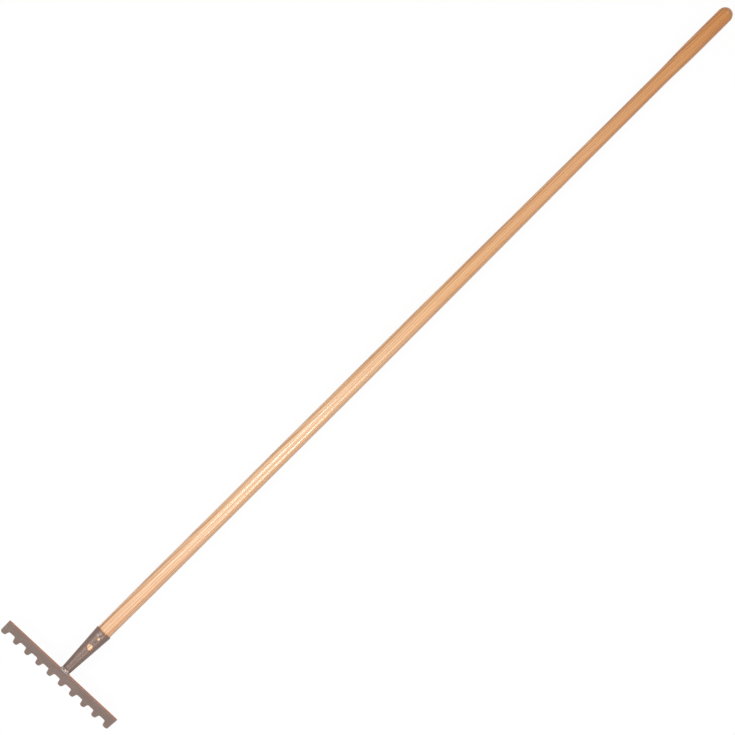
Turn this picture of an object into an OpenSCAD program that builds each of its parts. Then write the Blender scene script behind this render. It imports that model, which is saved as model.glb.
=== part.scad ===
// Garden rake: a stamped steel head on a rolled steel socket, with a long turned wooden handle.
// It lies teeth down on the floor, handle along +X, head across Y. All sizes are in millimetres.

/* [Handle] */
// Diameter of the straight stretch that a tool clip grips
handle_d = 28; // [27:0.5:32]
// Length of the handle that shows beyond the socket
handle_length = 1501.5; // [1200:0.5:1800]
// Diameter where the handle enters the socket
nose_d = 27; // [24:0.2:27.4]
// Depth of the handle's tapered nose inside the socket
seat_depth = 70; // [58:1:80]
// Diameter of the waist before the butt
waist_d = 23.7; // [20:0.1:25]
// Diameter of the swell at the butt
swell_d = 26.8; // [25.5:0.1:27.4]
// Length of the rounded butt end
dome_length = 15; // [12:1:26]

/* [Socket] */
// Length of the socket along its upper side
socket_length = 92; // [86:0.5:110]
// Outside diameter of the socket at the head
neck_d = 17.4; // [16:0.2:20]
// Thickness of the rolled socket sheet
socket_wall = 1.7; // [1.2:0.1:2.2]
// Diameter of the large hole that shows the handle's nose
large_hole_d = 11.6; // [8:0.2:13]
// Distance of the large hole from the socket's mouth
large_hole_drop = 34.2; // [30:0.2:40]
// Diameter of the small fixing hole
small_hole_d = 6.2; // [4:0.2:7]
// Distance of the small hole and the nail from the socket's mouth
small_hole_drop = 13.5; // [11:0.5:18]
// Width of the open seam between the mouth and the large hole
seam_gap = 0.6; // [0.4:0.1:1]
// How far the two rolled edges are out of line along the seam
seam_mismatch = 1; // [0.4:0.2:1.6]
// Turn of the seam and its holes from straight up, towards the -Y end of the head
seam_turn = 5; // [-15:0.5:15]

/* [Head] */
// Number of teeth
tooth_count = 10; // [6:1:16]
// Distance between neighbouring teeth
tooth_pitch = 26.05; // [22:0.05:32]
// Width of a tooth at its root
tooth_root_w = 13.6; // [11:0.1:15]
// Length of a tooth below the notches
tooth_length = 20; // [16:0.5:40]
// Radius of the other teeth's rounded tips
tooth_tip_r = 4.9; // [3:0.1:5.4]
// Radius of the tips of the two end teeth, whose outer sides run straight down from the bar
end_tip_r = 5.7; // [4:0.1:6.4]
// Radius in the corners of the notches
notch_r = 3; // [1.5:0.1:3.2]
// Height of the bar above the notches
bar_height = 29.5; // [24:0.5:40]
// Radius of the bar's upper corners
bar_corner_r = 3; // [1:0.5:5]
// Thickness of the stamped plate
plate_t = 3; // [2:0.1:4]
// Angle of the plate below the line of the handle
plate_lean = 55; // [45:1:70]
// Turn of the head out of square with the handle
head_skew = 2; // [0:0.1:3]
// Distance of the head's middle from the handle's line
head_offset = 3; // [-4:0.5:4]

/* [Welds and nail] */
// Radius of the weld beads
weld_r = 3.4; // [2:0.1:4]
// Gap between the ends of the two weld beads
weld_gap = 0.6; // [0.4:0.1:2]
// Diameter of the nail
nail_d = 3.4; // [2.6:0.1:4]
// Diameter of the nail's head
nail_head_d = 8; // [6:0.2:10]
// Length of the nail inside the socket and the wood
nail_length = 20; // [14:1:22]
// Clearance of the nail in the socket's hole
nail_gap = 0.2; // [0.1:0.1:0.4]

/* [Hidden] */
$fn = 96;
cut = 400;
overlap = 1;
// How far an arc runs past the straight edge that it meets
blend = 0.06;

// Handle: stations along its visible length, as shares of it
shoulder_end = 0.071 * handle_length;
straight_end = 0.4 * handle_length;
waist_start = 0.843 * handle_length;
waist_end = 0.886 * handle_length;
swell_start = 0.939 * handle_length;
dome_start = handle_length - dome_length;
ease_steps = 24;
dome_steps = 16;

// Socket: a straight cone whose inside the handle's nose fills
neck_r = neck_d / 2;
mouth_r = nose_d / 2 + socket_wall;
taper = (mouth_r - neck_r) / socket_length;
mouth_x = socket_length;
nose_x = mouth_x - seat_depth;
butt_x = mouth_x + handle_length;
nail_x = mouth_x - small_hole_drop;
function cone_r(x) = neck_r + taper * x;

// Head: the plate's top edge meets the socket's upper side at x = 0
plate_height = bar_height + tooth_length;
bar_w = (tooth_count - 1) * tooth_pitch + tooth_root_w;
end_tooth_y = (tooth_count - 1) * tooth_pitch / 2;
plate_slope = cos(plate_lean) / sin(plate_lean);

// Tooth: each side is a straight line from a root corner that runs into the tip's arc
half_root = tooth_root_w / 2;
end_reach = tooth_root_w - end_tip_r;
end_tip_y = end_tooth_y + half_root - end_tip_r;

// Welds: a row of pools of uneven size; half the turn of a bead keeps its ends clear of the other
pools = 8;
pool_swing = 0.1;
pool_phase = 200;
weld_half = 90 - asin((weld_r * (1 + pool_swing) + weld_gap / 2) * sin(plate_lean) / neck_r);

// Lie: the lowest tooth tip and the swell at the butt both touch the floor
tip_x = end_tip_y * sin(head_skew) - plate_height * cos(plate_lean) * cos(head_skew);
tip_z = neck_r - plate_height * sin(plate_lean);
swell_x = mouth_x + dome_start;
lie_angle = atan((-swell_d / 2 - tip_z) / (swell_x - tip_x));
floor_z = tip_z * cos(lie_angle) - tip_x * sin(lie_angle);

// Middle of the rake's length, from the far corner of the last tooth's tip to the butt
far_x = -end_tip_y * sin(head_skew)
    - (plate_height * cos(plate_lean) + plate_t * sin(plate_lean)) * cos(head_skew);
far_z = tip_z + plate_t * cos(plate_lean);
low_end = far_x * cos(lie_angle) + far_z * sin(lie_angle);
high_end = butt_x * cos(lie_angle);
middle_x = (low_end + high_end) / 2;

// Puts a piece that was drawn along the handle's axis down on the floor
module lying() {
    translate([-middle_x, -head_offset, -floor_z])
        rotate([0, lie_angle, 0])
            children();
}

// Draws along the handle's axis, with the drawing's Z along +X
module along_handle() {
    rotate([0, 90, 0])
        children();
}

// Draws on the plate: X runs down the plate, Z = 0 is the face towards the handle
module on_plate() {
    translate([0, head_offset, neck_r])
        rotate([0, 0, head_skew])
            rotate([0, 180 - plate_lean, 0])
                children();
}

// Everything on the far side of the plate's inner face
module beyond_plate() {
    on_plate()
        translate([-cut / 2, -cut / 2, -cut])
            cube(cut);
}

// Half a cosine wave from 0 to 1
function ease(share) = (1 - cos(180 * share)) / 2;

function eased_run(x1, x2, r1, r2) = [
    for (i = [0 : ease_steps])
        let (share = i / ease_steps)
        [r1 + (r2 - r1) * ease(share), x1 + (x2 - x1) * share]
];

// Radius and distance from the socket's mouth, from the nose to the butt
function handle_profile() = concat(
    [
        [0, -seat_depth],
        [cone_r(nose_x) - socket_wall, -seat_depth],
        [nose_d / 2, 0],
        [handle_d / 2, shoulder_end]
    ],
    eased_run(straight_end, waist_start, handle_d / 2, waist_d / 2),
    eased_run(waist_end, swell_start, waist_d / 2, swell_d / 2),
    [
        for (i = [0 : dome_steps])
            let (turn = 90 * i / dome_steps)
            [swell_d / 2 * cos(turn), dome_start + dome_length * sin(turn)]
    ]
);

module handle() {
    color("burlywood")
        difference() {
            translate([mouth_x, 0, 0])
                along_handle()
                    rotate_extrude()
                        polygon(handle_profile());
            nail_shank(nail_d);
        }
}

// The socket's outside as a solid cone, from beyond the plate to the mouth
module socket_cone(wall, x1, x2) {
    translate([x1, 0, 0])
        along_handle()
            cylinder(h = x2 - x1, r1 = cone_r(x1) - wall, r2 = cone_r(x2) - wall);
}

// One side of a hole that was punched before the sheet was rolled
module half_hole(x, d, side) {
    translate([x + side * seam_mismatch / 2, 0, 0])
        intersection() {
            cylinder(h = cut, d = d);
            translate([-d, side > 0 ? 0 : -d, 0])
                cube([2 * d, d, cut]);
        }
}

module punched_hole(x, d) {
    half_hole(x, d, 1);
    half_hole(x, d, -1);
}

module socket() {
    neck_x = -2 * neck_r * plate_slope - overlap;
    seam_x = mouth_x - large_hole_drop;
    color("rosybrown")
        difference() {
            socket_cone(0, neck_x, mouth_x);
            socket_cone(socket_wall, neck_x - overlap, mouth_x + overlap);
            beyond_plate();
            rotate([seam_turn, 0, 0]) {
                punched_hole(seam_x, large_hole_d);
                punched_hole(nail_x, small_hole_d);
                translate([seam_x, -seam_gap / 2, 0])
                    cube([cut, seam_gap, cut]);
            }
            nail_shank(nail_d + 2 * nail_gap);
        }
}

// Lean of a tooth's side; reach is the distance across from its root corner to the tip's centre
function side_angle(tip_r, reach) =
    asin((tip_r - blend) / norm([tooth_length - tip_r, reach])) - atan2(reach, tooth_length - tip_r);

// Where a side meets the tip's arc: distance down and distance across from the root corner
function side_touch(tip_r, reach) =
    let (lean = side_angle(tip_r, reach))
    [tooth_length - tip_r - (tip_r - blend) * sin(lean), reach - (tip_r - blend) * cos(lean)];

// One tooth from the bar to its tip, whose centre is a reach away from the lower root corner
module tooth(tip_r, reach) {
    low = side_touch(tip_r, reach);
    high = side_touch(tip_r, tooth_root_w - reach);
    translate([bar_height, 0])
        polygon([
            [-overlap, -half_root],
            [0, -half_root],
            [low[0], low[1] - half_root],
            [high[0], half_root - high[1]],
            [0, half_root],
            [-overlap, half_root]
        ]);
    translate([bar_height + tooth_length - tip_r, reach - half_root])
        circle(r = tip_r);
}

function is_end(i) = i == 0 || i == tooth_count - 1;

// Tooth i of the row; an end tooth is flush with the end of the bar
module tooth_of_row(i) {
    if (is_end(i))
        tooth(end_tip_r, i == 0 ? end_tip_r : end_reach);
    else
        tooth(tooth_tip_r, half_root);
}

// The rounded inner corner where the side of tooth i meets the notch beyond it
module notch_corner(i) {
    lean = is_end(i) ? side_angle(end_tip_r, end_reach) : side_angle(tooth_tip_r, half_root);
    centre_y = notch_r * (1 + sin(lean)) / cos(lean);
    touch = [notch_r * (1 + sin(lean)), centre_y - notch_r * cos(lean)];
    translate([bar_height, half_root])
        difference() {
            polygon([
                [-overlap, -overlap],
                [touch[0], touch[1] - overlap],
                touch,
                [notch_r, centre_y],
                [-overlap, centre_y]
            ]);
            translate([notch_r, centre_y])
                circle(r = notch_r + blend);
        }
}

// What is rounded off one upper corner of the bar
module bar_corner() {
    difference() {
        translate([-overlap, -overlap])
            square(bar_corner_r + overlap);
        translate([bar_corner_r, bar_corner_r])
            circle(r = bar_corner_r + blend);
    }
}

module bar_outline() {
    difference() {
        translate([0, -bar_w / 2])
            square([bar_height, bar_w]);
        translate([0, -bar_w / 2])
            bar_corner();
        translate([0, bar_w / 2])
            mirror([0, 1])
                bar_corner();
    }
}

module rake_head() {
    color("dimgray")
        on_plate()
            translate([0, -end_tooth_y, -plate_t]) {
                linear_extrude(plate_t) {
                    translate([0, end_tooth_y])
                        bar_outline();
                    for (i = [0 : tooth_count - 1])
                        translate([0, i * tooth_pitch])
                            tooth_of_row(i);
                }
                for (i = [1 : tooth_count - 1]) {
                    translate([0, (i - 1) * tooth_pitch, 0])
                        linear_extrude(plate_t)
                            notch_corner(i - 1);
                    translate([0, i * tooth_pitch, 0])
                        mirror([0, 1, 0])
                            linear_extrude(plate_t)
                                notch_corner(i);
                }
            }
}

// A point on the line where the socket's outside meets the plate, turned from the top
function joint_point(turn) =
    let (
        r = (neck_r - taper * neck_r * plate_slope) / (1 - taper * cos(turn) * plate_slope),
        y = r * sin(turn),
        z = r * cos(turn)
    )
    [(z - neck_r) * plate_slope / cos(head_skew) - (y - head_offset) * tan(head_skew), y, z];

// A row of weld pools along the joint, to both sides of a turn from the top
module weld(middle_turn) {
    cleared = plate_t + weld_r;
    color("silver")
        difference() {
            for (i = [0 : pools])
                translate(joint_point(middle_turn + weld_half * (2 * i / pools - 1)))
                    sphere(r = weld_r * (1 + pool_swing * sin(pool_phase * i)), $fn = 48);
            // Turned with the bead, so that the cone's own seam lies on the far side
            rotate([middle_turn, 0, 0])
                socket_cone(0, -cut / 10, cut / 10);
            on_plate()
                translate([0, -bar_w / 2, -cleared])
                    cube([bar_height, bar_w, cleared]);
        }
}

module weld_upper() {
    weld(0);
}

module weld_lower() {
    weld(180);
}

// The part of the nail inside the socket and the wood, driven in from below
module nail_shank(d) {
    point_length = 1.5 * nail_d;
    translate([nail_x, 0, -cone_r(nail_x) - overlap]) {
        cylinder(h = nail_length + overlap - point_length, d = d);
        translate([0, 0, nail_length + overlap - point_length])
            cylinder(h = point_length, d1 = d, d2 = d / 4);
    }
}

module nail() {
    head_t = 1.6;
    color("gray") {
        difference() {
            translate([nail_x, 0, -cone_r(nail_x) - head_t])
                cylinder(h = 2 * head_t, d = nail_head_d);
            socket_cone(0, 0, mouth_x);
        }
        nail_shank(nail_d);
    }
}

lying() handle();
lying() socket();
lying() rake_head();
lying() weld_upper();
lying() weld_lower();
lying() nail();
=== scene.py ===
# Garden rake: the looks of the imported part, in metres, in the part's own frame.
import math

import bpy
from mathutils import Matrix, Vector


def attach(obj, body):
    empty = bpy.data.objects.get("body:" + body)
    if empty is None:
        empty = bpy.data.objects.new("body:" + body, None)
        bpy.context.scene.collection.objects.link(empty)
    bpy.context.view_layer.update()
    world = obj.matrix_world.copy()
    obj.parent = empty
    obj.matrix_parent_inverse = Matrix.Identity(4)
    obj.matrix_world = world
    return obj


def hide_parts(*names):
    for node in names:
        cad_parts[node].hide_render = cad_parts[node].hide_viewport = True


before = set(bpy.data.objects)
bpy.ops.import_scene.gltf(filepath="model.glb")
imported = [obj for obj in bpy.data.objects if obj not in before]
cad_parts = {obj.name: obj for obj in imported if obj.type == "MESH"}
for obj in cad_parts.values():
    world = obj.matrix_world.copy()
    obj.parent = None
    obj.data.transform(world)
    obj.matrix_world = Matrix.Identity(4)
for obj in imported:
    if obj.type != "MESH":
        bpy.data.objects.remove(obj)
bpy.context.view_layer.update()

# Driving sizes as in the part's source, in millimetres, with turns in radians
HANDLE_D = 28
HANDLE_LENGTH = 1501.5
NOSE_D = 27
SEAT_DEPTH = 70
WAIST_D = 23.7
SWELL_D = 26.8
DOME_LENGTH = 15
SOCKET_LENGTH = 92
NECK_D = 17.4
SOCKET_WALL = 1.7
LARGE_HOLE_D = 11.6
LARGE_HOLE_DROP = 34.2
SMALL_HOLE_D = 6.2
SMALL_HOLE_DROP = 13.5
SEAM_GAP = 0.6
SEAM_MISMATCH = 1
SEAM_TURN = math.radians(5)
TOOTH_COUNT = 10
TOOTH_PITCH = 26.05
TOOTH_ROOT_W = 13.6
TOOTH_LENGTH = 20
TOOTH_TIP_R = 4.9
END_TIP_R = 5.7
NOTCH_R = 3
BAR_HEIGHT = 29.5
BAR_CORNER_R = 3
PLATE_T = 3
PLATE_LEAN = math.radians(55)
HEAD_SKEW = math.radians(2)
HEAD_OFFSET = 3
WELD_R = 3.4
WELD_GAP = 0.6
POOL_SWING = 0.1
NAIL_D = 3.4
NAIL_HEAD_D = 8
NAIL_HEAD_T = 1.6
NAIL_LENGTH = 20

# Sizes that only the looks have, in millimetres
NOSE_EDGE = 1
DOME_FLAT_R = SWELL_D / 40
DOME_FLAT_DROP = 0.02
PLATE_ROLL = 1.0
PLATE_BURR = 0.3
PLATE_WEAR_AND_HIGHLIGHT_BAND = 2.4
SHEET_ROLL = 0.3
SHEET_BURR = 0.2
SHEET_RUB = 0.9
WELD_ROOT = 1.2
NAIL_TOP_R = 0.3
NAIL_RIM_TOP = 0.5
NAIL_RIM_FOOT = 0.2
NAIL_BEVEL = 0.3
NAIL_SEAT = 0.25
NAIL_SHANK_START = 1.5
NAIL_POINT = 1.5 * NAIL_D
CLOSED_SEAM_GAP = 0.06
# Reach of the painted shade on the wood each side of the socket's mouth
MOUTH_SHADE_REACH = 3.0

# Shares from 0 to 1 that shape the marks of wear, and the painted highlight on the +Y flank of each tooth
FRONT_BARE = 0.3
SEAM_BARE = 0.2
BAR_RUB = 0.15
TOOTH_RUB = 0.55
FLANK_HIGHLIGHT = 0.9
TOOTH_SHOULDER = 0.2

# Share of the socket's sheet over which the seam's bends die away
SEAM_REACH = 0.3

# Turn that a hole's rim keeps clear of the seam's rubbed corners, in radians
CORNER_CLEAR = 0.12

# Bare spots beside the seam near the mouth: across from the seam, along the handle, radius
SCUFFS = (
    (6.0, 82.0, 2.6),
    (-2.4, 84.5, 1.5),
    (3.2, 87.5, 1.6),
)

# Weld beads: shares of their radius, and the waves that make them uneven as height, turns and drift
WELD_POOLS = 7
WELD_STRETCH = 1.4
WELD_CORE = 0.76
POOL_RISE = 0.24
POOL_OVERLAP = 0.1
BEAD_TIP = 0.04
BEAD_END_POWER = 12
BEAD_LUMPS = (
    (0.07, 3, 17),
    (0.06, 2, -41),
)

# The nail's head: share of its radius that is flat, and how full its crown is
NAIL_TOP_SHARE = 0.35
NAIL_CROWN_POWER = 0.7

# Fineness of the meshes, in steps
HANDLE_SIDES = 72
HANDLE_ROWS = 210
NOSE_ROWS = 20
DOME_ROWS = 20
TIP_STEPS = 12
NOTCH_STEPS = 10
CORNER_STEPS = 8
EDGE_STEPS = 4
SOCKET_COLUMNS = 96
SHUT_SEAM_ROWS = 10
LARGE_HOLE_STEPS = 16
BETWEEN_HOLES_ROWS = 5
SMALL_HOLE_STEPS = 12
MOUTH_ROWS = 6
WELD_STEPS = 150
WELD_SIDES = 32
NAIL_SIDES = 40
NAIL_CROWN_STEPS = 10
NAIL_SHANK_ROWS = 6

# Derived sizes; distances along the handle start at the plate's top edge
NECK_R = NECK_D / 2
MOUTH_R = NOSE_D / 2 + SOCKET_WALL
TAPER = (MOUTH_R - NECK_R) / SOCKET_LENGTH
MOUTH_X = SOCKET_LENGTH
NOSE_X = MOUTH_X - SEAT_DEPTH
BUTT_X = MOUTH_X + HANDLE_LENGTH
NAIL_X = MOUTH_X - SMALL_HOLE_DROP
PLATE_HEIGHT = BAR_HEIGHT + TOOTH_LENGTH
END_TOOTH_Y = (TOOTH_COUNT - 1) * TOOTH_PITCH / 2
HALF_ROOT = TOOTH_ROOT_W / 2
BAR_W = 2 * (END_TOOTH_Y + HALF_ROOT)
PLATE_SLOPE = 1 / math.tan(PLATE_LEAN)
END_TIP_Y = END_TOOTH_Y + HALF_ROOT - END_TIP_R
WELD_CLEAR = WELD_R * (1 + POOL_SWING) + WELD_GAP / 2
WELD_HALF = math.pi / 2 - math.asin(WELD_CLEAR * math.sin(PLATE_LEAN) / NECK_R)

# Stations of the handle, in millimetres from the socket's mouth
SHOULDER_END = 0.071 * HANDLE_LENGTH
STRAIGHT_END = 0.4 * HANDLE_LENGTH
WAIST_START = 0.843 * HANDLE_LENGTH
WAIST_END = 0.886 * HANDLE_LENGTH
SWELL_START = 0.939 * HANDLE_LENGTH
DOME_START = HANDLE_LENGTH - DOME_LENGTH
FIRST_ROW = 4

# The lie on the floor: the lowest tooth tip and the swell at the butt both touch it
TIP_X = END_TIP_Y * math.sin(HEAD_SKEW) - PLATE_HEIGHT * math.cos(PLATE_LEAN) * math.cos(HEAD_SKEW)
TIP_Z = NECK_R - PLATE_HEIGHT * math.sin(PLATE_LEAN)
SWELL_X = BUTT_X - DOME_LENGTH
LIE = math.atan((-SWELL_D / 2 - TIP_Z) / (SWELL_X - TIP_X))
FLOOR_Z = TIP_Z * math.cos(LIE) - TIP_X * math.sin(LIE)
FAR_X = -END_TIP_Y * math.sin(HEAD_SKEW) - math.cos(HEAD_SKEW) * (
    PLATE_HEIGHT * math.cos(PLATE_LEAN) + PLATE_T * math.sin(PLATE_LEAN)
)
FAR_Z = TIP_Z + PLATE_T * math.cos(PLATE_LEAN)
LOW_END = FAR_X * math.cos(LIE) + FAR_Z * math.sin(LIE)
MIDDLE_X = (LOW_END + BUTT_X * math.cos(LIE)) / 2

# A millimetre in metres, the part's place on the floor, and the plate's own axes
MM = 0.001
LAY = Matrix.Translation((-MIDDLE_X, -HEAD_OFFSET, -FLOOR_Z)) @ Matrix.Rotation(LIE, 4, "Y")
ON_PLATE = (
    Matrix.Translation((0, HEAD_OFFSET, NECK_R))
    @ Matrix.Rotation(HEAD_SKEW, 4, "Z")
    @ Matrix.Rotation(math.pi - PLATE_LEAN, 4, "Y")
)


def cone_r(x):
    """Outside radius of the socket at a distance along the handle."""
    return NECK_R + TAPER * x


def ease(share):
    """Half a cosine wave from 0 to 1."""
    return (1 - math.cos(math.pi * share)) / 2


def span(first, last, steps):
    """Evenly spaced values from first to last, both included."""
    return [first + (last - first) * i / steps for i in range(steps + 1)]


# Meshes


def make_piece(name, points, faces, node, material, marks=None, normals=None):
    """A smooth mesh from points in millimetres along the handle, laid on the floor in place of a CAD node.

    Marks are named values from 0 to 1 at each point, for the material to read. Normals are worked out from
    the larger faces where none are given.
    """
    mesh = bpy.data.meshes.new(name)
    mesh.from_pydata([LAY @ Vector(p) * MM for p in points], [], faces)
    mesh.validate()
    for polygon in mesh.polygons:
        polygon.use_smooth = True
    for mark, values in (marks or {}).items():
        layer = mesh.attributes.new(mark, "FLOAT", "POINT")
        layer.data.foreach_set("value", values)
    mesh.materials.append(material)
    piece = bpy.data.objects.new(name, mesh)
    bpy.context.collection.objects.link(piece)
    if normals:
        mesh.normals_split_custom_set_from_vertices([LAY.to_3x3() @ n for n in normals])
    else:
        piece.modifiers.new("face_normals", "WEIGHTED_NORMAL")
    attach(piece, "root")
    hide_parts(node)


def loop_faces(loops, count):
    """Quads between neighbouring closed loops, each of count points in a row of the point list."""
    faces = []
    for ring in range(loops - 1):
        for i in range(count):
            j = (i + 1) % count
            a = ring * count
            b = a + count
            faces.append((a + i, a + j, b + j, b + i))
    return faces


def closed_faces(loops, count):
    """The same quads, with a face across the first loop and one across the last."""
    faces = loop_faces(loops, count)
    faces.append(tuple(reversed(range(count))))
    last = (loops - 1) * count
    faces.append(tuple(range(last, last + count)))
    return faces


def lathe(profile, sides, place):
    """Points and faces of a closed turned form.

    The profile's pairs are radius and height. Place makes a point from two distances off the axis and the
    height along it.
    """
    points = []
    for radius, height in profile:
        for i in range(sides):
            turn = 2 * math.pi * i / sides
            points.append(place(radius * math.sin(turn), radius * math.cos(turn), height))
    return points, closed_faces(len(profile), sides)


def inset(outline, distance):
    """A counter-clockwise outline moved inwards."""
    moved = []
    count = len(outline)
    for i, point in enumerate(outline):
        ahead = (Vector(outline[(i + 1) % count]) - Vector(point)).normalized()
        behind = (Vector(point) - Vector(outline[i - 1])).normalized()
        n1 = Vector((-ahead.y, ahead.x))
        n2 = Vector((-behind.y, behind.x))
        moved.append(tuple(Vector(point) + (n1 + n2) * distance / (1 + n1.dot(n2))))
    return moved


def edge_stages(thickness, roll, burr, rub):
    """Inset, depth, lean, bareness and share of rubbing and painted highlight of each loop round a sheet's
    edge, outer face first.
    """
    stages = [(rub, 0, 0, 0, 0)]
    for lean in span(0, math.pi / 2, EDGE_STEPS):
        inwards = roll * (1 - math.sin(lean))
        depth = roll * (1 - math.cos(lean))
        stages.append((inwards, depth, lean, FRONT_BARE * math.sin(lean), math.cos(lean)))
    for lean in span(math.pi / 2, math.pi, EDGE_STEPS):
        inwards = burr * (1 - math.sin(lean))
        depth = thickness - burr * (1 + math.cos(lean))
        stages.append((inwards, depth, lean, math.sin(lean), 0))
    return stages


# Handle


def handle_r(x):
    """Radius of the wood at a distance from the socket's mouth, as far as the dome."""
    if x < SHOULDER_END:
        return (NOSE_D + (HANDLE_D - NOSE_D) * x / SHOULDER_END) / 2
    if x < STRAIGHT_END:
        return HANDLE_D / 2
    if x < WAIST_START:
        share = (x - STRAIGHT_END) / (WAIST_START - STRAIGHT_END)
        return (HANDLE_D + (WAIST_D - HANDLE_D) * ease(share)) / 2
    if x < WAIST_END:
        return WAIST_D / 2
    if x < SWELL_START:
        share = (x - WAIST_END) / (SWELL_START - WAIST_END)
        return (WAIST_D + (SWELL_D - WAIST_D) * ease(share)) / 2
    return SWELL_D / 2


def handle_profile():
    """Radius and distance from the socket's mouth, from the nose in the socket to the butt."""
    nose_r = cone_r(NOSE_X) - SOCKET_WALL
    profile = [(nose_r - NOSE_EDGE, -SEAT_DEPTH), (nose_r, NOSE_EDGE - SEAT_DEPTH)]
    for share in span(1 / NOSE_ROWS, 1, NOSE_ROWS - 1):
        profile.append((nose_r + (NOSE_D / 2 - nose_r) * share, SEAT_DEPTH * (share - 1)))
    profile += [(handle_r(x), x) for x in span(FIRST_ROW, DOME_START, HANDLE_ROWS)]
    for turn in span(0, math.pi / 2, DOME_ROWS)[1:-1]:
        profile.append((SWELL_D / 2 * math.cos(turn), DOME_START + DOME_LENGTH * math.sin(turn)))
    profile.append((DOME_FLAT_R, HANDLE_LENGTH - DOME_FLAT_DROP))
    return profile


def make_handle(material):
    def place(z, y, x):
        return (MOUTH_X + x, y, z)

    points, faces = lathe(handle_profile(), HANDLE_SIDES, place)
    make_piece("turned_handle", points, faces, "handle", material)


# Head plate


def arc(centre, radius, first, last, steps):
    """Points on an arc, with turns from the first axis to the second."""
    return [
        (centre[0] + radius * math.cos(turn), centre[1] + radius * math.sin(turn))
        for turn in span(first, last, steps)
    ]


def half_tooth(tip_r, reach, flush):
    """Half a tooth's edge, from its tip out to the notch, or to the bar's end where the two are flush.

    The reach is the distance across from the tooth's root corner to the centre of its tip.
    """
    down = TOOTH_LENGTH - tip_r
    lean = math.asin(tip_r / math.hypot(down, reach)) - math.atan2(reach, down)
    tip = arc((BAR_HEIGHT + down, HALF_ROOT - reach), tip_r, 0, math.pi / 2 + lean, TIP_STEPS)
    if flush:
        return tip
    notch_y = HALF_ROOT + NOTCH_R * (1 + math.sin(lean)) / math.cos(lean)
    notch = arc((BAR_HEIGHT + NOTCH_R, notch_y), NOTCH_R, lean - math.pi / 2, -math.pi, NOTCH_STEPS)
    return tip + notch


def plate_outline():
    """The plate's outline: distance down the plate and distance across it, counter-clockwise."""
    inner = half_tooth(TOOTH_TIP_R, HALF_ROOT, False)
    end_inner = half_tooth(END_TIP_R, TOOTH_ROOT_W - END_TIP_R, False)
    end_outer = half_tooth(END_TIP_R, END_TIP_R, True)
    halves = [(end_outer, end_inner)]
    halves += [(inner, inner)] * (TOOTH_COUNT - 2)
    halves += [(end_inner, end_outer)]
    outline = []
    for i, (lower, upper) in enumerate(halves):
        middle = i * TOOTH_PITCH - END_TOOTH_Y
        outline += [(a, middle - y) for a, y in reversed(lower[1:])]
        outline += [(a, middle + y) for a, y in upper]
    corner_y = BAR_W / 2 - BAR_CORNER_R
    outline += arc((BAR_CORNER_R, corner_y), BAR_CORNER_R, math.pi / 2, math.pi, CORNER_STEPS)
    outline += arc((BAR_CORNER_R, -corner_y), BAR_CORNER_R, math.pi, 1.5 * math.pi, CORNER_STEPS)
    return outline


def tooth_wear_and_highlight(a, y):
    """How far the lacquer is rubbed at the plate's edge, and a painted highlight that is brightest on the +Y
    flank of each tooth, the side that faces the light.
    """
    down = (a - BAR_HEIGHT) / TOOTH_LENGTH
    if down < TOOTH_SHOULDER:
        return BAR_RUB
    across = (y + END_TOOTH_Y) / TOOTH_PITCH
    # Painted highlight: brighter towards each tooth's +Y flank and darker towards its -Y flank
    return TOOTH_RUB + FLANK_HIGHLIGHT * (across - round(across))


def make_plate(material):
    outline = plate_outline()
    stages = edge_stages(PLATE_T, PLATE_ROLL, PLATE_BURR, PLATE_WEAR_AND_HIGHLIGHT_BAND)
    points = []
    bare = []
    wear_and_highlight = []
    for distance, depth, _, bareness, edge_wear_and_highlight in stages:
        for a, y in inset(outline, distance):
            points.append(ON_PLATE @ Vector((a, y, depth - PLATE_T)))
            bare.append(bareness)
            wear_and_highlight.append(edge_wear_and_highlight * tooth_wear_and_highlight(a, y))
    faces = closed_faces(len(stages), len(outline))
    marks = {"bare": bare, "wear_and_highlight": wear_and_highlight}
    make_piece("toothed_plate", points, faces, "rake_head", material, marks)


# Socket


def joint_x(turn, depth):
    """Where the socket, at a depth below its outside, meets the plate's inner face; turned from the top."""
    k = PLATE_SLOPE * math.cos(turn) - math.sin(HEAD_SKEW) * math.sin(turn)
    reach = (NECK_R - depth) * k + HEAD_OFFSET * math.sin(HEAD_SKEW) - NECK_R * PLATE_SLOPE
    return reach / (math.cos(HEAD_SKEW) - TAPER * k)


def hole_side(x, radius, gap_before, gap_after, steps):
    """Half of a hole's rim between two stretches of seam, with no point in the rubbed corners."""

    def corner(gap):
        return math.asin((gap + SHEET_RUB) / (radius + SHEET_RUB)) + CORNER_CLEAR

    turns = [math.pi - math.asin(gap_before / radius)]
    turns += span(math.pi - corner(gap_before), corner(gap_after), steps)
    turns.append(math.asin(gap_after / radius))
    return [(x + radius * math.cos(turn), radius * math.sin(turn)) for turn in turns]


def seam_edge(side):
    """One rolled edge from the plate to the mouth: distances along the handle and from the seam's middle."""
    shift = side * SEAM_MISMATCH / 2
    shut = CLOSED_SEAM_GAP / 2
    ajar = SEAM_GAP / 2
    large_x = MOUTH_X - LARGE_HOLE_DROP + shift
    small_x = MOUTH_X - SMALL_HOLE_DROP + shift
    large = hole_side(large_x, LARGE_HOLE_D / 2, shut, ajar, LARGE_HOLE_STEPS)
    small = hole_side(small_x, SMALL_HOLE_D / 2, ajar, ajar, SMALL_HOLE_STEPS)
    edge = [(x, shut) for x in span(joint_x(-SEAM_TURN, 0), large[0][0], SHUT_SEAM_ROWS)[:-1]]
    edge += large
    edge += [(x, ajar) for x in span(large[-1][0], small[0][0], BETWEEN_HOLES_ROWS)[1:-1]]
    edge += small
    edge += [(x, ajar) for x in span(small[-1][0], MOUTH_X, MOUTH_ROWS)[1:]]
    return edge


def developed(turn, x):
    """A point of the socket's sheet laid flat; turns are from the seam."""
    return (turn * cone_r(x), x)


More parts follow.
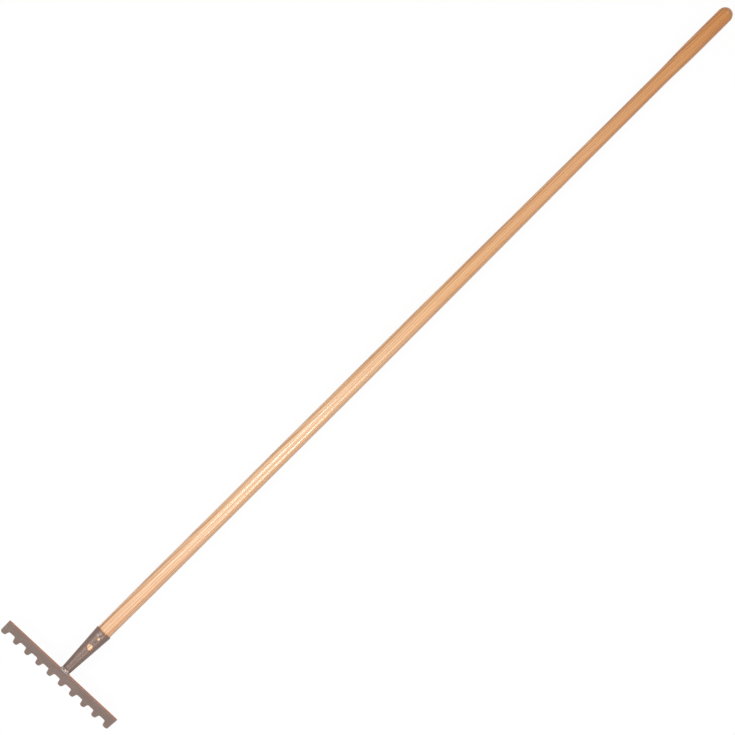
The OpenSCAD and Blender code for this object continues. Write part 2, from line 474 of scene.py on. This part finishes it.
def patch(bottom, top, left, right):
    """A grid of points that fills four sides; the bends of the left and right sides die away within it."""
    rows = []
    length = left[-1][1] - left[0][1]
    steps = len(bottom) - 1
    for start, end in zip(left, right):
        v = (start[1] - left[0][1]) / length
        row = []
        for i in range(steps + 1):
            near_left = max(0, 1 - i / (SEAM_REACH * steps)) ** 2
            near_right = max(0, 1 - (steps - i) / (SEAM_REACH * steps)) ** 2
            point = []
            for k in range(2):
                along = (1 - v) * bottom[i][k] + v * top[i][k]
                left_bend = start[k] - (1 - v) * bottom[0][k] - v * top[0][k]
                right_bend = end[k] - (1 - v) * bottom[-1][k] - v * top[-1][k]
                point.append(along + near_left * left_bend + near_right * right_bend)
            row.append(tuple(point))
        rows.append(row)
    return rows


def scuff(u, x):
    """Bare spots that handling has left beside the seam near the mouth."""
    sheet = 2 * math.pi * cone_r(x)
    across = u if u < sheet / 2 else u - sheet
    return max(math.exp(-((across - y) ** 2 + (x - along) ** 2) / r**2) for y, along, r in SCUFFS)


def on_socket(u, x, depth):
    """A point of the laid-flat sheet, rolled up, at a depth below the socket's outside."""
    turn = u / cone_r(x) - SEAM_TURN
    share = (MOUTH_X - x) / (MOUTH_X - joint_x(turn, 0))
    x += share * (joint_x(turn, depth) - joint_x(turn, 0))
    r = cone_r(x) - depth
    return (x, r * math.sin(turn), r * math.cos(turn))


def socket_normal(u, x, lean, outwards):
    """Straight out from the rolled sheet, leaning towards a direction in the flat sheet."""
    turn = u / cone_r(x) - SEAM_TURN
    out = Vector((-TAPER, math.sin(turn), math.cos(turn))).normalized()
    up = Vector((1, TAPER * math.sin(turn), TAPER * math.cos(turn))).normalized()
    return math.cos(lean) * out + math.sin(lean) * (outwards[0] * out.cross(up) + outwards[1] * up)


def sheet_sides():
    """The socket's sheet laid flat: its sides at the plate, at the mouth and along the seam's edges."""
    left = [developed(math.asin(y / cone_r(x)), x) for x, y in seam_edge(1)]
    right = [developed(2 * math.pi - math.asin(y / cone_r(x)), x) for x, y in seam_edge(-1)]
    # Columns leave the seam's rubbed rim free, so that it never folds over the next column
    rim_turn = 2 * SHEET_RUB / NECK_R
    columns = span(rim_turn, 2 * math.pi - rim_turn, SOCKET_COLUMNS - 2)
    bottom = [left[0]] + [developed(t, joint_x(t - SEAM_TURN, 0)) for t in columns] + [right[0]]
    top = [left[-1]] + [developed(t, MOUTH_X) for t in columns] + [right[-1]]
    return bottom, top, left, right


def make_socket(material):
    bottom, top, left, right = sheet_sides()
    outline = bottom[:-1] + right[:-1] + top[:0:-1] + left[:0:-1]
    count = len(outline)
    length = len(left) - 1
    around = SOCKET_COLUMNS

    points = []
    normals = []
    bare = []
    wear_and_highlight = []
    stages = edge_stages(SOCKET_WALL, SHEET_ROLL, SHEET_BURR, SHEET_RUB)
    loops = [inset(outline, stage[0]) for stage in stages]
    outwards = [(Vector(a) - Vector(b)).normalized() for a, b in zip(outline, inset(outline, 1))]
    for loop, (_, depth, lean, bareness, _) in zip(loops, stages):
        points += [on_socket(u, x, depth) for u, x in loop]
        normals += [socket_normal(u, x, lean, away) for (u, x), away in zip(loop, outwards)]
        bare += [bareness if x > MOUTH_X - SHEET_RUB else SEAM_BARE * bareness for u, x in loop]
        wear_and_highlight += [scuff(u, x) for u, x in loop]
    faces = loop_faces(len(stages), count)

    def add_face(ring, depth, lean):
        """A grid across the sheet's outer or inner face, sewn to the loop round its edge."""
        loop = loops[ring]
        mouth_right = around + length
        mouth_left = mouth_right + around
        grid = patch(
            loop[: around + 1],
            loop[mouth_right : mouth_left + 1][::-1],
            [loop[0]] + loop[: mouth_left - 1 : -1],
            loop[around : mouth_right + 1],
        )
        base = ring * count
        index = []
        for j, row in enumerate(grid):
            ids = []
            for i, (u, x) in enumerate(row):
                if j == 0:
                    ids.append(base + i)
                elif j == length:
                    ids.append(base + mouth_left - i)
                elif i == 0:
                    ids.append(base + count - j)
                elif i == around:
                    ids.append(base + around + j)
                else:
                    ids.append(len(points))
                    points.append(on_socket(u, x, depth))
                    normals.append(socket_normal(u, x, lean, (0, 0)))
                    bare.append(0.0)
                    wear_and_highlight.append(scuff(u, x))
            index.append(ids)
        for low, high in zip(index, index[1:]):
            for i in range(around):
                face = (low[i], high[i], high[i + 1], low[i + 1])
                faces.append(face if lean == 0 else face[::-1])

    add_face(0, 0, 0)
    add_face(len(stages) - 1, SOCKET_WALL, math.pi)
    marks = {"bare": bare, "wear_and_highlight": wear_and_highlight}
    make_piece("rolled_socket", points, faces, "socket", material, marks, normals)


# Welds


def joint_point(turn):
    """A point on the line where the socket's outside meets the plate."""
    x = joint_x(turn, 0)
    return Vector((x, cone_r(x) * math.sin(turn), cone_r(x) * math.cos(turn)))


def rooted(point):
    """A point of a bead, kept from sinking through the socket's wall or the plate."""
    least = cone_r(point.x) - WELD_ROOT
    radius = math.hypot(point.y, point.z)
    if radius < least:
        point = Vector((point.x, point.y * least / radius, point.z * least / radius))
    on_plate = ON_PLATE.inverted() @ point
    over_edge = min(max(0.5 - on_plate.x / WELD_ROOT, 0), 1)
    on_plate.z = max(on_plate.z, -WELD_ROOT - over_edge * PLATE_T)
    return ON_PLATE @ on_plate


def bead_r(share, turn):
    """Radius of a bead at a share of its length and a turn round it."""
    phase = share * WELD_POOLS % 1
    pool = math.sqrt(max(0.0, 1 - (phase * (1 + POOL_OVERLAP) - POOL_OVERLAP) ** 2))
    end = math.sqrt(max(0.0, 1 - (2 * share - 1) ** BEAD_END_POWER))
    lump = sum(height * math.sin(turns * turn + drift * share) for height, turns, drift in BEAD_LUMPS)
    return WELD_R * (WELD_CORE + POOL_RISE * pool + lump) * max(end, BEAD_TIP)


def make_weld(name, node, middle, material):
    """A bead of overlapping pools along half of the joint, drawn out at both ends and on to the socket."""
    path = [joint_point(t) for t in span(middle - WELD_HALF, middle + WELD_HALF, WELD_STEPS)]
    points = []
    for i, centre in enumerate(path):
        ahead = path[min(i + 1, WELD_STEPS)] - path[max(i - 1, 0)]
        along = Vector((1, 0, 0)) - ahead * ahead.x / ahead.length_squared
        along.normalize()
        outwards = ahead.normalized().cross(along)
        for j in range(WELD_SIDES):
            turn = 2 * math.pi * j / WELD_SIDES
            radius = bead_r(i / WELD_STEPS, turn)
            reach = math.cos(turn) * (WELD_STRETCH if math.cos(turn) > 0 else 1)
            points.append(rooted(centre + radius * (reach * along + math.sin(turn) * outwards)))
    faces = closed_faces(WELD_STEPS + 1, WELD_SIDES)
    make_piece(name, points, faces, node, material)


# Nail


def nail_profile():
    """Radius and depth below the socket's surface, from the rounded head to the point."""
    head_r = NAIL_HEAD_D / 2
    shank_r = NAIL_D / 2
    crown = NAIL_HEAD_T - NAIL_RIM_TOP
    profile = [(NAIL_TOP_R, -NAIL_HEAD_T)]
    for turn in span(0, math.pi / 2, NAIL_CROWN_STEPS):
        radius = head_r * (NAIL_TOP_SHARE + (1 - NAIL_TOP_SHARE) * math.sin(turn))
        profile.append((radius, -NAIL_RIM_TOP - crown * math.cos(turn) ** NAIL_CROWN_POWER))
    profile.append((head_r, -NAIL_RIM_FOOT))
    profile.append((head_r - NAIL_BEVEL, NAIL_SEAT))
    profile.append((shank_r, 2 * NAIL_SEAT))
    profile += [(shank_r, x) for x in span(NAIL_SHANK_START, NAIL_LENGTH - NAIL_POINT, NAIL_SHANK_ROWS)]
    profile.append((shank_r / 4, NAIL_LENGTH))
    return profile


def make_nail(material):
    surface = cone_r(NAIL_X)

    def place(y, x, height):
        return (NAIL_X + x, y, height - surface)

    points, faces = lathe(nail_profile(), NAIL_SIDES, place)
    make_piece("fixing_nail", points, faces, "nail", material)


# Materials


class Tree:
    """Short calls that build one material's nodes."""

    def __init__(self, name):
        self.material = bpy.data.materials.new(name)
        self.material.use_nodes = True
        self.nodes = self.material.node_tree.nodes
        self.links = self.material.node_tree.links
        self.shader = self.nodes["Principled BSDF"]

    def set(self, node, socket, value):
        target = node.inputs[socket]
        if isinstance(value, bpy.types.NodeSocket):
            self.links.new(value, target)
        else:
            target.default_value = value

    def add(self, kind, sockets=(), **settings):
        node = self.nodes.new("ShaderNode" + kind)
        for name, value in settings.items():
            setattr(node, name, value)
        for socket, value in dict(sockets).items():
            self.set(node, socket, value)
        return node

    def math(self, operation, *values):
        node = self.add("Math", operation=operation)
        for i, value in enumerate(values):
            self.set(node, i, value)
        return node.outputs[0]

    def vector(self, operation, *values):
        node = self.add("VectorMath", operation=operation)
        for i, value in enumerate(values):
            self.set(node, i, value)
        return node.outputs[0]

    def noise(self, vector, scale=1.0, detail=2.0, roughness=0.5):
        """Cloudy noise; a scale of three numbers per metre draws it out along an axis."""
        if isinstance(scale, tuple):
            vector = self.vector("MULTIPLY", vector, scale)
            scale = 1.0
        sockets = {"Vector": vector, "Scale": scale, "Detail": detail, "Roughness": roughness}
        return self.add("TexNoise", sockets).outputs[0]

    def mark(self, name):
        """A value from 0 to 1 that the mesh carries at its points."""
        return self.add("Attribute", attribute_name=name).outputs["Fac"]

    def ramp(self, factor, *stops, interpolation="EASE"):
        node = self.add("ValToRGB", {0: factor})
        node.color_ramp.interpolation = interpolation
        elements = node.color_ramp.elements
        while len(elements) < len(stops):
            elements.new(0.5)
        for element, (place, colour) in zip(elements, stops):
            element.position = place
            element.color = colour
        return node.outputs[0]

    def mix(self, blend, factor, a, b):
        node = self.add("Mix", {0: factor, 6: a, 7: b}, data_type="RGBA", blend_type=blend)
        return node.outputs[2]

    def spread(self, value, low, high, out_low=0.0, out_high=1.0):
        sockets = {0: value, 1: low, 2: high, 3: out_low, 4: out_high}
        return self.add("MapRange", sockets, clamp=True).outputs[0]

    def bump(self, height, distance, strength):
        sockets = {"Height": height, "Distance": distance, "Strength": strength}
        return self.add("Bump", sockets).outputs[0]

    def finish(self, **sockets):
        for name, value in sockets.items():
            self.set(self.shader, name.replace("_", " "), value)
        return self.material


def srgb(red, green, blue):
    """A colour from its everyday 0 to 255 numbers."""

    def linear(value):
        value /= 255
        return value / 12.92 if value <= 0.04045 else ((value + 0.055) / 1.055) ** 2.4

    return (linear(red), linear(green), linear(blue), 1)


def grey(value):
    """A neutral colour from its share of white."""
    return (value, value, value, 1)


def along_handle(tree):
    """Object coordinates turned so that X runs down the handle's axis from the plate, in metres."""
    start = tree.add("TexCoord").outputs["Object"]
    moved = tree.vector("SUBTRACT", start, tuple(LAY.translation * MM))
    turned = tree.add("VectorRotate", {"Vector": moved, "Angle": -LIE}, rotation_type="Y_AXIS")
    return turned.outputs[0]


# Wood: its grain in metres and rings per metre, the colours along it, and tints that multiply them
PITH_SIDE = 0.030
PITH_BELOW = 0.012
GRAIN_WANDER = 0.024
GRAIN_SLOPE = 0.012
RING_RATE = 340.0
RING_UNEVENNESS = 1.4
RING_SHADES = (
    (0.0, grey(0.9)),
    (0.16, grey(1.0)),
    (0.42, grey(0.15)),
    (0.7, grey(0.0)),
    (1.0, grey(0.9)),
)
WOOD_COLOURS = (
    # The first stop is kept darker as painted shade, offsetting the head lamps' extra light on the wood near
    # the socket
    (0.06, srgb(230, 190, 152)),
    (0.40, srgb(243, 206, 167)),
    (0.56, srgb(236, 187, 136)),
    (0.78, srgb(233, 178, 124)),
    (0.97, srgb(216, 149, 78)),
)
LATE_WOOD = (0.72, 0.52, 0.37, 1)
DARK_FIBRE = (0.92, 0.86, 0.80, 1)
PALE_FIBRE = (1.04, 1.06, 1.08, 1)
PORE_TINT = (0.52, 0.40, 0.30, 1)
FLANK_GRAIN_AND_SHADE_TINT = (0.78, 0.58, 0.42, 1)
# Tint of the painted shade on the wood beside the socket's mouth
MOUTH_SHADE_TINT = (0.78, 0.52, 0.30, 1)

# Brown bands along the wood, partly late-wood grain and partly painted shade where the round flanks turn
# from the light: turn from the top and half width in radians, strength
FLANK_GRAIN_AND_SHADE_BANDS = (
    (0.86, 0.24, 0.9),
    (1.45, 0.3, 0.6),
    (-0.8, 0.5, 0.55),
    (-1.3, 0.28, 0.8),
)


def flank_grain_and_shade(tree, place, y, z):
    """Bands along the flanks of the wood that wave a little round it: partly late-wood grain, partly painted
    shade on the flanks.
    """
    wave = tree.noise(place, (5.0, 0.0, 0.0))
    turn = tree.math("ARCTAN2", y, z)
    turn = tree.math("MULTIPLY_ADD", tree.math("SUBTRACT", wave, 0.5), 0.9, turn)
    grain_and_shade = 0.0
    for middle, half_width, strength in FLANK_GRAIN_AND_SHADE_BANDS:
        away = tree.math("ABSOLUTE", tree.math("SUBTRACT", turn, middle))
        grain_and_shade = tree.math("MAXIMUM", tree.spread(away, 0.0, half_width, strength, 0.0), grain_and_shade)
    return grain_and_shade


def growth_rings(tree, place, x, y, z):
    """Rings round a pith beside the stick, which wander slowly along it: each ring's phase and darkness."""
    wander = tree.noise(place, (2.2, 8.0, 8.0), detail=1.5)
    sway = tree.math("MULTIPLY_ADD", wander, GRAIN_WANDER, tree.math("MULTIPLY", x, GRAIN_SLOPE))
    pith_y = tree.math("ADD", tree.math("ADD", y, sway), PITH_SIDE)
    pith = tree.add("CombineXYZ", {1: pith_y, 2: tree.math("ADD", z, PITH_BELOW)}).outputs[0]
    radius = tree.add("VectorMath", {0: pith}, operation="LENGTH").outputs["Value"]
    uneven = tree.noise(tree.add("CombineXYZ", {0: radius}).outputs[0], 120.0, detail=1.0)
    rings = tree.math("MULTIPLY_ADD", radius, RING_RATE, tree.math("MULTIPLY", uneven, RING_UNEVENNESS))
    phase = tree.math("FRACT", rings)
    tone = tree.add("TexWhiteNoise", {"W": tree.math("FLOOR", rings)}, noise_dimensions="1D").outputs[0]
    dark = tree.math("MULTIPLY", tree.ramp(phase, *RING_SHADES), tree.spread(tone, 0.0, 1.0, 0.4, 1.0))
    return phase, dark


def ash_wood():
    """Lacquered ash: growth rings, long fibres, pores, brown bands of grain and painted shade on the flanks,
    and a warmer butt end.
    """
    tree = Tree("ash_wood")
    place = along_handle(tree)
    x, y, z = tree.add("SeparateXYZ", {0: place}).outputs

    ring, dark = growth_rings(tree, place, x, y, z)

    # Fibres and pores, both drawn out along the stick
    fibre = tree.noise(place, (2.0, 620.0, 620.0), roughness=0.55)
    speck = tree.noise(place, (60.0, 1900.0, 1900.0), detail=1.0)
    pores = tree.math("MULTIPLY", tree.spread(speck, 0.56, 0.66), tree.spread(ring, 0.0, 0.45, 1.0, 0.15))

    # Slow changes of tone, which also break up the brown bands of grain and painted shade
    tone = tree.noise(place, (5.0, 60.0, 60.0))
    grain_and_shade = flank_grain_and_shade(tree, place, y, z)
    grain_and_shade = tree.math("MULTIPLY", grain_and_shade, tree.spread(tone, 0.3, 0.65, 0.35, 1.0))
    share = tree.math("DIVIDE", x, BUTT_X * MM)
    share = tree.math("MULTIPLY_ADD", tree.math("SUBTRACT", tone, 0.5), 0.14, share)
    colour = tree.ramp(share, *WOOD_COLOURS, interpolation="LINEAR")

    colour = tree.mix("MULTIPLY", dark, colour, LATE_WOOD)
    lines = tree.mix("MIX", tree.spread(fibre, 0.38, 0.62), DARK_FIBRE, PALE_FIBRE)
    colour = tree.mix("MULTIPLY", 1.0, colour, lines)
    colour = tree.mix("MULTIPLY", tree.math("MULTIPLY", pores, 0.5), colour, PORE_TINT)
    # Darker flanks: partly late-wood grain, partly painted shade where the round flanks turn from the light
    colour = tree.mix("MULTIPLY", grain_and_shade, colour, FLANK_GRAIN_AND_SHADE_TINT)
    # Painted shade on the wood where it meets the socket's rim
    mouth_shade = tree.math("ABSOLUTE", tree.math("SUBTRACT", x, MOUTH_X * MM))
    mouth_shade = tree.spread(mouth_shade, 0.0, MOUTH_SHADE_REACH * MM, 1.0, 0.0)
    colour = tree.mix("MULTIPLY", mouth_shade, colour, MOUTH_SHADE_TINT)

    height = tree.math("SUBTRACT", tree.math("MULTIPLY", fibre, 0.5), tree.math("MULTIPLY", pores, 0.6))
    height = tree.math("MULTIPLY_ADD", dark, -0.25, height)
    return tree.finish(
        Base_Color=colour,
        Roughness=tree.spread(tree.math("MULTIPLY_ADD", dark, 0.3, fibre), 0.3, 1.0, 0.40, 0.55),
        Normal=tree.bump(height, 0.00004, 0.6),
        Specular_IOR_Level=0.25,
        Coat_Weight=0.45,
        Coat_Roughness=0.22,
        Coat_IOR=1.9,
    )


# Lacquer: the film's colours, tints that multiply them, and the steel that shows through
FILM_DARK = srgb(104, 80, 69)
FILM_PALE = srgb(115, 90, 78)
FILM_SPECK = srgb(120, 110, 104)
BLOTCH_TINT = (0.80, 0.76, 0.74, 1)
DRAWN_TINT = (0.75, 0.70, 0.66, 1)
STEEL_WEAR_AND_HIGHLIGHT = srgb(186, 178, 173)
COPPERY_EDGE = srgb(192, 100, 42)


def lacquered_steel():
    """Taupe lacquer over pressed steel: cloudy film, fine specks, rubbed spots, a painted highlight of
    bright steel on the teeth's +Y flanks, and coppery edges.
    """
    tree = Tree("lacquered_steel")
    place = along_handle(tree)
    cloud = tree.noise(place, (28.0, 22.0, 28.0), detail=3.0, roughness=0.55)
    blotch = tree.noise(place, 160.0, detail=3.0, roughness=0.6)
    speck = tree.noise(place, 1400.0, roughness=0.6)
    drawn = tree.noise(place, (900.0, 25.0, 900.0), roughness=0.6)
    bare = tree.math("MULTIPLY", tree.mark("bare"), tree.spread(blotch, 0.3, 0.6, 0.5, 1.0))
    wear_and_highlight = tree.math("MULTIPLY", tree.mark("wear_and_highlight"), tree.spread(blotch, 0.38, 0.6))

    film = tree.ramp(cloud, (0.3, FILM_DARK), (0.7, FILM_PALE))
    film = tree.mix("MULTIPLY", tree.spread(blotch, 0.45, 0.8, 0.0, 0.25), film, BLOTCH_TINT)
    film = tree.mix("SCREEN", tree.spread(speck, 0.62, 0.8, 0.0, 0.2), film, FILM_SPECK)
    film = tree.mix("MULTIPLY", tree.spread(drawn, 0.55, 0.8, 0.0, 0.12), film, DRAWN_TINT)
    # Bright steel where the lacquer is rubbed, and as a painted highlight on the teeth's +Y flanks
    colour = tree.mix("MIX", tree.math("MULTIPLY", wear_and_highlight, 0.55), film, STEEL_WEAR_AND_HIGHLIGHT)
    colour = tree.mix("MIX", tree.math("MULTIPLY", bare, 0.95), colour, COPPERY_EDGE)

    height = tree.math("ADD", tree.math("MULTIPLY", cloud, 0.6), tree.math("MULTIPLY", blotch, 0.25))
    height = tree.math("MULTIPLY_ADD", speck, 0.08, height)
    metal = tree.math("MAXIMUM", bare, wear_and_highlight)
    return tree.finish(
        Base_Color=colour,
        Metallic=tree.math("MULTIPLY_ADD", metal, 0.4, 0.1),
        Roughness=tree.math("MULTIPLY_ADD", metal, -0.08, tree.spread(blotch, 0.3, 0.7, 0.38, 0.5)),
        Normal=tree.bump(height, 0.00025, 0.5),
        Specular_IOR_Level=0.1,
        Coat_Weight=0.5,
        Coat_Roughness=0.46,
        Coat_IOR=2.0,
    )


# Weld: from dark scale over bright spots, painted glints on bare metal, and straw heat colour back to scale,
# and the tint of its grain
WELD_COLOURS = (
    (0.38, srgb(108, 90, 82)),
    (0.47, srgb(132, 117, 109)),
    # Bright spots: painted glints on bare weld metal
    (0.53, srgb(226, 223, 221)),
    (0.565, srgb(196, 156, 126)),
    (0.60, srgb(150, 122, 104)),
    (0.68, srgb(112, 93, 84)),
)
SCALE_TINT = (0.6, 0.55, 0.52, 1)


def weld_steel():
    """Weld metal: dark scale with bright spots that are painted glints on bare metal, and straw heat
    colours.
    """
    tree = Tree("weld_steel")
    place = along_handle(tree)
    heat = tree.noise(place, 250.0)
    grain = tree.noise(place, 1900.0, detail=3.0, roughness=0.6)
    colour = tree.ramp(heat, *WELD_COLOURS)
    colour = tree.mix("MULTIPLY", tree.spread(grain, 0.5, 0.8, 0.0, 0.6), colour, SCALE_TINT)
    return tree.finish(
        Base_Color=colour,
        Metallic=0.25,
        Roughness=tree.spread(grain, 0.3, 0.7, 0.34, 0.5),
        Specular_IOR_Level=0.3,
        Normal=tree.bump(grain, 0.0002, 0.6),
    )


def nail_steel():
    """Bright drawn steel with hammer marks and a little dulling."""
    tree = Tree("nail_steel")
    place = along_handle(tree)
    marks = tree.add("TexVoronoi", {"Vector": place, "Scale": 700.0}).outputs["Distance"]
    dull = tree.noise(place, 500.0, detail=3.0, roughness=0.6)
    colour = tree.ramp(dull, (0.3, srgb(150, 148, 147)), (0.7, srgb(190, 188, 186)))
    return tree.finish(
        Base_Color=colour,
        Metallic=0.95,
        Roughness=tree.spread(dull, 0.3, 0.7, 0.26, 0.44),
        Normal=tree.bump(marks, 0.0003, 0.5),
    )


# Pieces

wood = ash_wood()
lacquer = lacquered_steel()
bead = weld_steel()
make_handle(wood)
make_socket(lacquer)
make_plate(lacquer)
make_weld("upper_weld", "weld_upper", 0, bead)
make_weld("lower_weld", "weld_lower", math.pi, bead)
make_nail(nail_steel())


# Floor, backdrop and light

FLOOR_HALF = 20
FLOOR_DROP = 0.0003
DOME_STRENGTH = 0.53
FLOOR_GREY = 0.35
SHADOW_SHARE = 0.05
LAMP_DISTANCE = 2.65

# Lamps: name, degrees towards -Y and towards the head, place along X, length, depth, radiance
LAMPS = (
    ("strip_left", -26, 0, -0.37, 0.26, 0.3, 58.0),
    ("strip_right", 36, 0, -0.32, 0.28, 0.3, 48.0),
    ("head_left", -32, 0, -1.55, 0.5, 0.6, 17.0),
    ("head_right", 25, 0, -1.55, 0.5, 0.6, 15.0),
    ("head_end", 0, 50, -0.75, 1.2, 1.2, 5.2),
    ("butt_end", 0, -50, 0.75, 1.2, 1.2, 2.2),
)


def seen_directly(nodes, links):
    """One for rays from the camera and for what gloss and glass show, zero for light."""
    path = nodes.new("ShaderNodeLightPath")
    total = path.outputs["Is Camera Ray"]
    for name in ("Is Glossy Ray", "Is Transmission Ray"):
        node = nodes.new("ShaderNodeMath")
        node.operation = "MAXIMUM"
        links.new(total, node.inputs[0])
        links.new(path.outputs[name], node.inputs[1])
        total = node.outputs[0]
    return total


def make_floor():
    """A wide pale floor: white to the eye apart from the object's soft shadow."""
    mesh = bpy.data.meshes.new("floor")
    corners = [(-1, -1), (1, -1), (1, 1), (-1, 1)]
    points = [(a * FLOOR_HALF, b * FLOOR_HALF, -FLOOR_DROP) for a, b in corners]
    mesh.from_pydata(points, [], [(0, 1, 2, 3)])
    floor = bpy.data.objects.new("floor", mesh)
    bpy.context.collection.objects.link(floor)
    material = bpy.data.materials.new("pale_floor")
    material.use_nodes = True
    nodes = material.node_tree.nodes
    links = material.node_tree.links
    nodes.clear()
    lit = nodes.new("ShaderNodeBsdfDiffuse")
    lit.inputs["Color"].default_value = grey(FLOOR_GREY)
    paper = nodes.new("ShaderNodeBsdfDiffuse")
    paper.inputs["Color"].default_value = grey(1.0)
    white = nodes.new("ShaderNodeEmission")
    shadow = nodes.new("ShaderNodeMixShader")
    shadow.inputs[0].default_value = SHADOW_SHARE
    links.new(white.outputs[0], shadow.inputs[1])
    links.new(paper.outputs[0], shadow.inputs[2])
    choose = nodes.new("ShaderNodeMixShader")
    links.new(seen_directly(nodes, links), choose.inputs[0])
    links.new(lit.outputs[0], choose.inputs[1])
    links.new(shadow.outputs[0], choose.inputs[2])
    output = nodes.new("ShaderNodeOutputMaterial")
    links.new(choose.outputs[0], output.inputs[0])
    mesh.materials.append(material)


def make_world():
    """An even dome of light that the camera, gloss and glass see as white."""
    world = bpy.data.worlds.new("studio")
    bpy.context.scene.world = world
    world.use_nodes = True
    nodes = world.node_tree.nodes
    links = world.node_tree.links
    nodes.clear()
    dome = nodes.new("ShaderNodeBackground")
    dome.inputs["Strength"].default_value = DOME_STRENGTH
    white = nodes.new("ShaderNodeBackground")
    choose = nodes.new("ShaderNodeMixShader")
    links.new(seen_directly(nodes, links), choose.inputs[0])
    links.new(dome.outputs[0], choose.inputs[1])
    links.new(white.outputs[0], choose.inputs[2])
    output = nodes.new("ShaderNodeOutputWorld")
    links.new(choose.outputs[0], output.inputs[0])


def make_panel(name, location, target, width, height, radiance):
    """A rectangular lamp that faces a point; its brightness is that of its surface."""
    lamp = bpy.data.lights.new(name, "AREA")
    lamp.shape = "RECTANGLE"
    lamp.size = width
    lamp.size_y = height
    lamp.energy = math.pi * width * height * radiance
    panel = bpy.data.objects.new(name, lamp)
    bpy.context.collection.objects.link(panel)
    panel.location = location
    panel.rotation_euler = (Vector(target) - Vector(location)).to_track_quat("-Z", "Y").to_euler()


def lamp_direction(across, along):
    """Straight up, turned towards -Y by the first angle and towards the head by the second."""
    level = math.cos(along)
    return Vector((-math.sin(along), -math.sin(across) * level, math.cos(across) * level))


make_floor()
make_world()
for lamp_name, across, along, lamp_x, lamp_length, lamp_depth, radiance in LAMPS:
    target = Vector((lamp_x, 0, 0))
    away = lamp_direction(math.radians(across), math.radians(along))
    make_panel(lamp_name, target + LAMP_DISTANCE * away, target, lamp_length, lamp_depth, radiance)


# Camera

CAMERA_DISTANCE = 5.0
VIEW_WIDTH = 1.2475
VIEW_CENTRE = (-0.0537, 0.0005, 0.027)
VIEW_TURN = math.radians(-44.805)
VIEW_LEAN = math.radians(2.3)
SENSOR = 36

lens = bpy.data.cameras.new("camera")
lens.sensor_width = SENSOR
lens.lens = SENSOR * CAMERA_DISTANCE / VIEW_WIDTH
lens.clip_end = 100
camera = bpy.data.objects.new("camera", lens)
bpy.context.collection.objects.link(camera)
# Straight above, turned with the photograph, then leaning a little towards +Y
aim = Matrix.Rotation(-VIEW_LEAN, 4, "X") @ Matrix.Rotation(VIEW_TURN, 4, "Z")
back = Matrix.Translation((0, 0, CAMERA_DISTANCE))
camera.matrix_world = Matrix.Translation(VIEW_CENTRE) @ aim @ back
bpy.context.scene.camera = camera
bpy.context.scene.view_settings.view_transform = "Standard"
